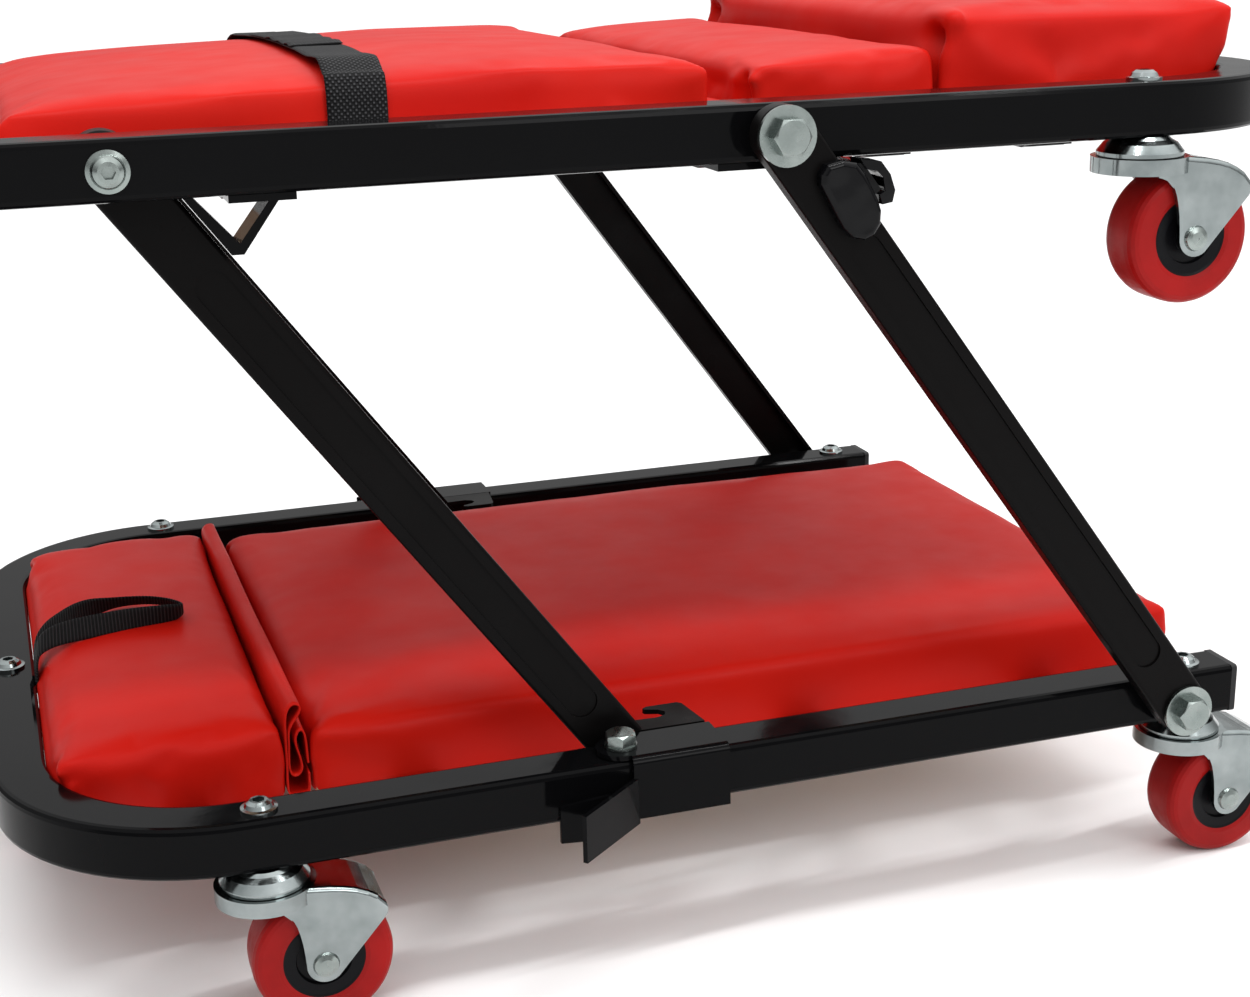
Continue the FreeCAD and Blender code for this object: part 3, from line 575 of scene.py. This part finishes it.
SMALL_X, LARGE_X = (-297.0, -191.5), (-181.5, 287.0)
SEAT_X, SHOULDER_X, HEAD_X = (-290.0, 23.5), (41.0, 137.5), (138.0, 300.0)
H = PAD_HALF

small_edge = lerp_table([(-297, 7.6), (-292, 9.6), (-285, 11.2), (-265, 12.6), (-245, 13.2), (-205, 12.6), (-191, 12.2)])


def small_lean(a, b, z):
    """The cover leans on the tube under its left edge."""
    return (-2.3 * max(0.0, min(1.0, (9.0 - z) / 8.0)) if a < -288 else 0.0), 0.0


small = build_pad(
    "small_pad_cover", "small_pad", "lower_frame", SMALL_X, LOW_TOP,
    lambda a, b: small_edge(a), 2.2, 1.8,
    [waves(50.0, 0.7, 3.1, sides), waves(70.0, 0.7, 8.7, upper),
     pull(-294, -H + 2, 10, -250, -H, -12, 7.0, 1.3), pull(-270, -H + 1, 6, -215, -H, -10, 10.0, 0.7),
     dog_ear(-297, -H, -1, -1, -12, 9, 0.7), dog_ear(-297, H, -1, 1, -12, 9, 0.7),
     dog_ear(-191.5, -H, 1, -1, -12, 11, 0.35), dog_ear(-191.5, H, 1, 1, -12, 11, 0.35)],
    0.8, rc=4.5, re=4.0, bulge=1.0, lean=small_lean, bend=(-220.0, 124.5, 77.5),
    press=press_left)

large_edge = lerp_table([(-182, 7.4), (-170, 8.4), (0, 8.6), (200, 8.4), (275, 8.0), (287, 7.0)])
large = build_pad(
    "large_pad_cover", "large_pad", "lower_frame", LARGE_X, LOW_TOP,
    lambda a, b: large_edge(a), 3.0, 1.8,
    [waves(60.0, 0.7, 1.3, sides), waves(95.0, 1.1, 5.2, upper), waves(38.0, 0.25, 9.4, upper),
     pull(-179, -H + 2, 8, -120, -H, -12, 6.5, 1.5), pull(-176, -H + 20, 9, -70, -60, 11, 8.0, 0.7),
     pull(-176, 20, 10, -60, 60, 12, 9.0, 0.6), pull(-150, -H + 1, 4, -100, -H, -11, 7.0, 0.8),
     pull(283, -H + 2, 7, 240, -H, -12, 7.0, 1.0),
     dog_ear(-181.5, -H, -1, -1, -12, 8, 0.5), dog_ear(-181.5, H, -1, 1, -12, 8, 0.5),
     dog_ear(287, -H, 1, -1, -12, 8, 0.6), dog_ear(287, H, 1, 1, -12, 8, 0.6)],
    0.8, rc=3.8, re=3.8, bulge=1.0, shrink=0.9)

seat_crease = lerp_table([(-290, 3.4), (-279, 4.5), (-253, 6.5), (-203, 8.2), (-157, 9.6), (-111, 11.6), (-76, 13.0),
                          (0, 13.0), (23, 11.4)])


seat = build_pad(
    "seat_pad_cover", "seat_pad", "upper_frame", SEAT_X, UP_TOP,
    lambda a, b: seat_crease(a), 5.6, 2.0,
    [waves(60.0, 0.9, 2.2, sides), waves(110.0, 1.0, 6.6, upper),
     pull(20, -H + 2, 9, -45, -H, -8, 9.0, 1.4), pull(-60, -H + 1, 12, -110, -H, -8, 9.0, 0.9),
     pull(-160, -H + 1, 16, -120, -H, -6, 9.0, 0.8),
     dog_ear(23.5, -H, 1, -1, -12, 9, 0.4), dog_ear(23.5, H, 1, 1, -12, 9, 0.4),
     dog_ear(-290, -H, -1, -1, -12, 4, 0.4), dog_ear(-290, H, -1, 1, -12, 4, 0.4)],
    0.85, rc=3.5, re=3.6, bulge=0.9, shrink=0.7)

shoulder_edge = lerp_table([(41, 6.6), (47, 8.0), (70, 10.2), (100, 11.8), (137, 13.4)])


def shoulder_lean(a, b, z):
    """The left end slants in under its top edge."""
    if a > 60:
        return 0.0, 0.0
    t = max(0.0, min(1.0, (7.0 - z) / 11.0)) * max(0.0, min(1.0, (z + 15.0) / 5.0))
    return (4.6 * t - 1.0 * max(0.0, min(1.0, z / 6.0))) * (60.0 - a) / 19.0, 0.0


shoulder = build_pad(
    "shoulder_pad_cover", "shoulder_pad", "upper_frame", SHOULDER_X, UP_TOP,
    lambda a, b: shoulder_edge(a), 2.6, 1.6,
    [waves(30.0, 1.0, 4.4, front), waves(60.0, 0.7, 7.7, upper),
     pull(50, -H + 2, 9, 84, -H, -6, 6.0, 1.3), pull(102, -H + 1, 10, 94, -H, -8, 6.0, 1.1),
     pull(130, -H + 1, 11, 118, -H, -8, 6.0, 1.0),
     dog_ear(41, -H, -1, -1, -22, 6, 1.4), dog_ear(41, H, -1, 1, -22, 6, 1.2)],
    0.8, rc=3.4, re=3.2, bulge=0.6, shrink=0.9, lean=shoulder_lean)

head_edge = lerp_table([(138, 29.6), (165, 29.4), (235, 29.2), (300, 28.8)])


def head_lean(a, b, z):
    t = max(0.0, min(1.0, (z + 2.0) / 30.0))
    out = 0.0
    if a > 262:
        out = 6.2 * t * (a - 262) / 37.0
    if a < 166:
        out = -2.0 * t * (166 - a) / 26.0
    return out, 0.0


head = build_pad(
    "headrest_pad_cover", "headrest_pad", "upper_frame", (HEAD_X[0] + 2.2, HEAD_X[1] - 1.6), UP_TOP,
    lambda a, b: head_edge(a), 6.0, 2.4,
    [waves(52.0, 1.1, 5.5, sides), waves(80.0, 1.0, 1.7, upper),
     pull(147, -H + 2, 25, 184, -H, -2, 8.0, 1.6), pull(197, -H + 1, 22, 238, -H, 4, 11.0, 1.1),
     pull(292, -H + 2, 25, 270, -H, -6, 8.0, 1.2),
     dog_ear(140.2, -H, -1, -1, -22, 23, 1.5), dog_ear(140.2, H, -1, 1, -22, 23, 1.3),
     pocket(140.2, -1, 6.0), pocket(140.2, 1, 5.0),
     dog_ear(298.4, -H, 1, -1, 0, 26, 0.3), dog_ear(298.4, H, 1, 1, 0, 26, 0.3)],
    0.9, rc=3.8, re=4.0, bulge=0.8, lean=head_lean, bend=(220.0, 124.5, 77.5))

# ------------------------------------------------------------------ sheets and tapes


def chaikin(pts, rounds=2, closed=False):
    for _ in range(rounds):
        out = [pts[0]]
        for a, b in zip(pts[:-1], pts[1:]):
            out.append(tuple(p * 0.75 + q * 0.25 for p, q in zip(a, b)))
            out.append(tuple(p * 0.25 + q * 0.75 for p, q in zip(a, b)))
        out.append(pts[-1])
        pts = out
    return pts


def mesh_object(name, verts, faces, mat):
    me = bpy.data.meshes.new(name)
    me.from_pydata([tuple(v) for v in verts], [], faces)
    me.validate()
    o = bpy.data.objects.new(name, me)
    scn.collection.objects.link(o)
    me.materials.append(mat)
    bm = bmesh.new()
    bm.from_mesh(me)
    bmesh.ops.recalc_face_normals(bm, faces=bm.faces)
    bm.to_mesh(me)
    bm.free()
    for p in me.polygons:
        p.use_smooth = True
    return o


def swept_sheet(name, section, t, y0, y1, steps, top, wobble=0.0, seed=0.0, ends=None):
    """A sheet of thickness t whose XZ section runs along Y; ends(v) may shift the section near its ends."""
    sec = chaikin(section, 3)
    k = len(sec)
    rings = []
    for s in range(steps + 1):
        v = s / steps
        y = y0 + (y1 - y0) * v
        pts = []
        for i, (a, b) in enumerate(sec):
            pa, pb = sec[max(0, i - 1)], sec[min(k - 1, i + 1)]
            dx, dz = pb[0] - pa[0], pb[1] - pa[1]
            m = math.hypot(dx, dz) or 1.0
            free = math.sin(math.pi * min(1.0, i / (k - 1))) ** 0.5
            ox = wobble * free * noise.noise(Vector((y / 55.0 + seed, i * 0.02, 0.3)))
            oz = wobble * free * noise.noise(Vector((y / 48.0 - seed, i * 0.02, 7.3)))
            if ends:
                ex, ez = ends(v, i / (k - 1))
                ox, oz = ox + ex, oz + ez
            pts.append((a + ox, b + oz, -dz / m, dx / m))
        rings.append((y, pts))
    verts, faces = [], []
    for y, pts in rings:
        for a, b, nx, nz in pts:
            verts.append(((a + nx * t / 2 + SX) * MM, y * MM, (b + nz * t / 2 + top) * MM))
        for a, b, nx, nz in reversed(pts):
            verts.append(((a - nx * t / 2 + SX) * MM, y * MM, (b - nz * t / 2 + top) * MM))
    n = 2 * k
    for s in range(steps):
        for i in range(n):
            j = (i + 1) % n
            faces.append((s * n + i, s * n + j, (s + 1) * n + j, (s + 1) * n + i))
    for i in range(k - 1):
        faces.append((i, i + 1, n - 2 - i, n - 1 - i))
        b = steps * n
        faces.append((b + i + 1, b + i, b + n - 1 - i, b + n - 2 - i))
    return verts, faces


def fold_ends(v, k):
    """The ridge sinks and leans back towards the far end."""
    w = math.exp(-((k - 0.38) / 0.11) ** 2)
    f = 1.0 - (1.0 - v) ** 1.6
    return -1.6 * f * w, -5.6 * f * w


v_, f_ = swept_sheet(
    "fold", [(-181.6, -13.0), (-181.7, -22.0), (-183.6, -23.6), (-189.8, -23.6), (-191.9, -22.2), (-192.0, -16.0), (-191.7, -9.0), (-191.6, 2.0), (-191.4, 10.0), (-191.3, 14.0), (-190.7, 18.2), (-188.6, 21.6),
             (-186.0, 22.6), (-183.7, 21.2), (-183.9, 18.6), (-186.0, 15.6), (-188.5, 12.4), (-190.0, 9.0),
             (-190.1, 3.0), (-190.4, -4.0), (-190.6, -9.6), (-189.3, -13.4), (-186.6, -13.8), (-184.3, -10.6),
             (-185.0, -5.0), (-186.5, 0.5), (-186.9, 4.8), (-185.5, 8.6), (-183.6, 9.4), (-182.2, 6.4),
             (-181.9, 0.0), (-181.7, -8.0)],
    0.9, -158.5, 158.0, 90, LOW_TOP, 0.45, 3.0, fold_ends)
lower_fold = mesh_object("lower_vinyl_hinge", v_, f_, VINYL)
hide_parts("lower_hinge_fold")
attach(lower_fold, "lower_frame")

v_, f_ = swept_sheet(
    "web", [(23.4, -15.0), (23.6, -10.0), (24.4, -7.6), (27.0, -9.4), (31.0, -10.2), (36.0, -9.8), (39.6, -8.2),
            (40.7, -10.4), (41.0, -15.0)],
    1.0, -158.5, 158.5, 90, UP_TOP, 0.6, 9.0)
upper_web = mesh_object("upper_vinyl_hinge", v_, f_, VINYL)
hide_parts("upper_hinge_fold")
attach(upper_web, "upper_frame")


def tape(name, path, wide, w, t, mat, ribs=0.0, pitch=2.6, across=9):
    """Tape along path (mm), wide gives the across direction at each point, ribs its rib height."""
    P = [Vector(p) for p in path]
    Wd = [Vector(d).normalized() for d in wide]
    # resample evenly
    seg = [(b - a).length for a, b in zip(P[:-1], P[1:])]
    cum = [0.0]
    for s in seg:
        cum.append(cum[-1] + s)
    step = pitch / 4.0 if ribs else 1.6
    n = max(8, int(cum[-1] / step))
    verts, faces, ruv = [], [], []
    for s in range(n + 1):
        d = cum[-1] * s / n
        i = min(len(seg) - 1, max(0, int(np.searchsorted(cum, d) - 1)))
        f = (d - cum[i]) / max(seg[i], 1e-9)
        c = P[i].lerp(P[i + 1], f)
        a = Wd[i].lerp(Wd[i + 1], f).normalized()
        tg = (P[min(i + 1, len(P) - 1)] - P[i]).normalized()
        nrm = tg.cross(a).normalized()
        h = t / 2.0 + (ribs * 0.5 * (1 + math.cos(2 * math.pi * d / pitch)) if ribs else 0.0)
        for sgn in (1, -1):
            for k in range(across + 1):
                v = k / across if sgn > 0 else 1.0 - k / across
                e = abs(2 * v - 1)
                hh = h * (1.0 if e < 0.9 else math.sqrt(max(0.05, 1 - ((e - 0.9) / 0.1) ** 2)))
                q = c + a * ((v - 0.5) * w) + nrm * (sgn * hh)
                verts.append(((q.x + SX) * MM, q.y * MM, q.z * MM))
                ruv.append((d * MM, (v - 0.5) * w * MM, 0.0))
    m = 2 * (across + 1)
    for s in range(n):
        for k in range(m):
            j = (k + 1) % m
            faces.append((s * m + k, s * m + j, (s + 1) * m + j, (s + 1) * m + k))
    for k in range(across):
        faces.append((k + 1, k, m - 1 - k, m - 2 - k))
        b = n * m
        faces.append((b + k, b + k + 1, b + m - 2 - k, b + m - 1 - k))
    o = mesh_object(name, verts, faces, mat)
    at = o.data.attributes.new("ruv", "FLOAT_VECTOR", "POINT")
    at.data.foreach_set("vector", [c for r in ruv for c in r])
    return o


def surface_of(o):
    me = o.data
    return BVHTree.FromPolygons([v.co.copy() for v in me.vertices], [tuple(p.vertices) for p in me.polygons])


SEAT_SKIN = surface_of(seat)


def skin_top(x, y):
    """Highest point of the seat cover near (x, y) over the strap's width, mm over the floor."""
    best = 0.0
    for dx in (-13.4, -9.0, -4.5, 0.0, 4.5, 9.0, 13.4):
        hit = SEAT_SKIN.ray_cast(Vector(((x + dx + SX) * MM, y * MM, 0.6)), Vector((0, 0, -1)))
        if hit[0] is not None:
            best = max(best, hit[0].z / MM)
    return best


def skin_side(x, z, s):
    """Outermost Y of the cover at height z on side s."""
    best = 0.0
    for dx in (-13.4, -9.0, -4.5, 0.0, 4.5, 9.0, 13.4):
        hit = SEAT_SKIN.ray_cast(Vector(((x + dx + SX) * MM, s * 0.3, z * MM)), Vector((0, -s, 0)))
        if hit[0] is not None:
            best = max(best, abs(hit[0].y) / MM)
    return s * (best or PAD_HALF)


# seat strap: round the seat pad, slack over the near edge, its ends lapped on top
def strap_x(y):
    t = max(0.0, min(1.0, (y + 158.0) / 316.0))
    return -140.2 + 2.4 * math.sin(math.pi * t) - 1.5 * t


def bump(y, y0, w, h):
    return h * math.exp(-((y - y0) / w) ** 2)


def strap_lift(y):
    return 1.5 + bump(y, -136.0, 17.0, 4.2) + bump(y, -84.0, 12.0, 0.7)


def eased(path, width=2, rounds=2):
    """The tape bridges small dips of the cover: running means of its height."""
    zs = [q[2] for q in path]
    for _ in range(rounds):
        zs = [sum(zs[max(0, i - width):i + width + 1]) / len(zs[max(0, i - width):i + width + 1])
              for i in range(len(zs))]
    return [(q[0], q[1], z) for q, z in zip(path, zs)]


rise = []
for i in range(54):
    y = -153.0 + 306.0 * i / 53.0
    rise.append((strap_x(y), y, skin_top(strap_x(y), y) + strap_lift(y)))
rise = rise[:3] + eased(rise[3:-3]) + rise[-3:]
near_x, far_x = strap_x(-160.0), strap_x(160.0)
near_side = [(near_x, skin_side(near_x, UP_TOP + z, -1) - 1.1 - g, UP_TOP + z)
             for z, g in ((-22.0, 0.0), (-14.0, 0.0), (-7.0, 0.2), (-1.0, 0.5), (4.0, 0.9), (7.5, 1.3))]
far_side = [(far_x, skin_side(far_x, UP_TOP + z, 1) + 1.1, UP_TOP + z) for z in (5.0, -3.0, -12.0, -22.0)]
n0 = near_side[-1]
corner = [(near_x, n0[1] + 1.6, n0[2] + 4.0), (near_x, -156.6, rise[0][2] + 0.2)]
ny, fy = near_side[0][1], far_side[-1][1]
turn = [(far_x, 157.0, rise[-1][2] - 0.8), (far_x, far_side[0][1] - 0.4, far_side[0][2] + 3.0)]
full = [(near_x, -140.0, UP_TOP - 27.6), (near_x, ny + 2.5, UP_TOP - 27.4), (near_x, ny, UP_TOP - 25.8)] + near_side + \
    corner + rise + turn + far_side + \
    [(far_x, fy, UP_TOP - 25.8), (far_x, fy - 2.5, UP_TOP - 27.4), (far_x, 140.0, UP_TOP - 27.6),
     ((near_x + far_x) / 2, 0.0, UP_TOP - 27.8), (near_x, -120.0, UP_TOP - 27.6)]
full = chaikin(full, 2)
strap = tape("seat_strap_webbing", full, [(1, 0, 0)] * len(full), 26.5, 1.5, WEB, 0.0, across=12)
lap = []
for i in range(46):
    y = -62.0 + 130.0 * i / 45.0
    lift = strap_lift(y) + 1.0 + bump(y, -52.0, 6.0, 1.3) + bump(y, -26.0, 6.0, 0.8) + bump(y, 4.0, 7.0, 1.1)
    lap.append((strap_x(y) - 1.0, y, skin_top(strap_x(y), y) + lift))
lap = eased(lap, 1, 1)
lap_o = tape("seat_strap_lap", lap, [(1, 0, 0.02)] * len(lap), 25.5, 1.1, WEB, 0.0, across=12)
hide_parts("seat_strap")
for o in (strap, lap_o):
    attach(o, "upper_frame")

# pull loop on the small pad: ribbed tape standing on edge, its strands leaning together; lower and upper edge pairs
LOOP = [((-298.0, -25, -8), (-298.0, -13, -8)), ((-298.0, -25, 5), (-298.0, -13.2, 6.5)),
        ((-296.6, -23.5, 12.2), (-295.7, -14.0, 19.5)), ((-290, -20, 14.6), (-289, -12.5, 24)),
        ((-280, -17.5, 15.6), (-279.5, -11.5, 25.8)), ((-265, -15.3, 16.0), (-265, -10.2, 26.6)),
        ((-250, -12.5, 16.0), (-250, -10.6, 27.4)), ((-239, -10.2, 16.0), (-239, -11.4, 27.6)),
        ((-229, -8, 16.2), (-229, -12, 27.6)), ((-222.6, -5, 16.6), (-223.2, -12, 27.2)),
        ((-220.2, 0, 17.2), (-221, -9, 26.8)), ((-221.2, 6, 17.6), (-222.6, -4.5, 26.4)),
        ((-226, 13, 17.8), (-227.5, 2.5, 26.4)), ((-235, 20, 17.8), (-236, 9, 26.6)),
        ((-246, 23, 17.4), (-246.5, 12.4, 26.8)), ((-257, 22, 17.0), (-257.5, 13, 27.2)),
        ((-270, 13, 16.6), (-270, 11.5, 27.6)), ((-284, -5, 16.2), (-283, 2, 26.8)),
        ((-292, -14, 15.0), (-291.6, -7, 24.2)), ((-297.0, -20.5, 11.6), (-296.7, -10.5, 18.6)),
        ((-298.4, -23, 4), (-298.4, -11.2, 6)), ((-298.4, -23, -8), (-298.4, -11, -8))]
pw = []
for b, t in LOOP:
    c = [(p + q) / 2 for p, q in zip(b, t)]
    w = Vector([q - p for p, q in zip(b, t)]).normalized()
    pw.append((c[0], c[1], c[2] + LOW_TOP, w.x, w.y, w.z))
pw = chaikin(pw, 2)
loop = tape("pull_loop", [p[:3] for p in pw], [p[3:] for p in pw], 12.0, 1.3, WEB_FINE, 0.16, 1.8)
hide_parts("loop_handle")
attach(loop, "lower_frame")

# ------------------------------------------------------------------ floor, light, camera


def plane(name, size, z, mat):
    me = bpy.data.meshes.new(name)
    s = size / 2
    me.from_pydata([(-s, -s, z), (s, -s, z), (s, s, z), (-s, s, z)], [], [(0, 1, 2, 3)])
    o = bpy.data.objects.new(name, me)
    scn.collection.objects.link(o)
    me.materials.append(mat)
    return o


FLOOR = principled("floor_pale", (0.88, 0.88, 0.88), 0.9, **{"Specular IOR Level": 0.1})
floor = plane("floor", 60.0, 0.0, FLOOR)

world = bpy.data.worlds.new("studio")
scn.world = world
world.use_nodes = True
wt = world.node_tree
bg = wt.nodes["Background"]
# darker walls near the horizon, a bright ceiling
geo = wt.nodes.new("ShaderNodeTexCoord")
sepw = wt.nodes.new("ShaderNodeSeparateXYZ")
wt.links.new(geo.outputs["Generated"], sepw.inputs["Vector"])
ramp = wt.nodes.new("ShaderNodeMapRange")
ramp.interpolation_type = "SMOOTHSTEP"
ramp.inputs["From Min"].default_value = 0.02
ramp.inputs["From Max"].default_value = 0.75
ramp.inputs["To Min"].default_value = 0.30
ramp.inputs["To Max"].default_value = 1.55
wt.links.new(sepw.outputs["Z"], ramp.inputs["Value"])
side = wt.nodes.new("ShaderNodeMapRange")
side.inputs["From Min"].default_value = -1.0
side.inputs["From Max"].default_value = 1.0
side.inputs["To Min"].default_value = 0.62
side.inputs["To Max"].default_value = 1.28
wt.links.new(sepw.outputs["X"], side.inputs["Value"])
both = wt.nodes.new("ShaderNodeMath")
both.operation = "MULTIPLY"
wt.links.new(ramp.outputs["Result"], both.inputs[0])
wt.links.new(side.outputs["Result"], both.inputs[1])
wt.links.new(both.outputs["Value"], bg.inputs["Strength"])
bg.inputs["Color"].default_value = (1.0, 1.0, 1.0, 1.0)


def area(name, loc, target, size, power, size_y=None, color=(1, 1, 1)):
    d = bpy.data.lights.new(name, "AREA")
    d.shape = "RECTANGLE"
    d.size = size
    d.size_y = size_y or size
    d.energy = power
    d.color = color
    o = bpy.data.objects.new(name, d)
    scn.collection.objects.link(o)
    o.location = loc
    v = Vector(target) - Vector(loc)
    o.rotation_mode = "QUATERNION"
    o.rotation_quaternion = v.to_track_quat("-Z", "Y")
    return o


area("top", (0.1, -0.7, 2.4), (0.0, 0.0, 0.2), 2.4, 30.0, 0.07)
area("key", (0.9, -2.3, 1.5), (0.0, 0.0, 0.25), 1.0, 13.0)

scn.view_settings.view_transform = "Standard"

cam_data = bpy.data.cameras.new("camera")
cam = bpy.data.objects.new("camera", cam_data)
scn.collection.objects.link(cam)
cam_data.sensor_width = 36.0
cam_data.lens = 1936.1 / 1250.0 * 36.0
cam_data.clip_start, cam_data.clip_end = 0.02, 80.0
yaw, pitch, roll = math.radians(18.15), math.radians(16.96), math.radians(-1.22)
d = Vector((math.sin(yaw) * math.cos(pitch), math.cos(yaw) * math.cos(pitch), -math.sin(pitch)))
r = Vector((math.cos(yaw), -math.sin(yaw), 0.0))
u = r.cross(d)
r2 = math.cos(roll) * r + math.sin(roll) * u
u2 = -math.sin(roll) * r + math.cos(roll) * u
cam.matrix_world = Matrix(((r2.x, u2.x, -d.x, -0.2929), (r2.y, u2.y, -d.y, -0.9985),
                           (r2.z, u2.z, -d.z, 0.4770), (0, 0, 0, 1)))
scn.camera = cam
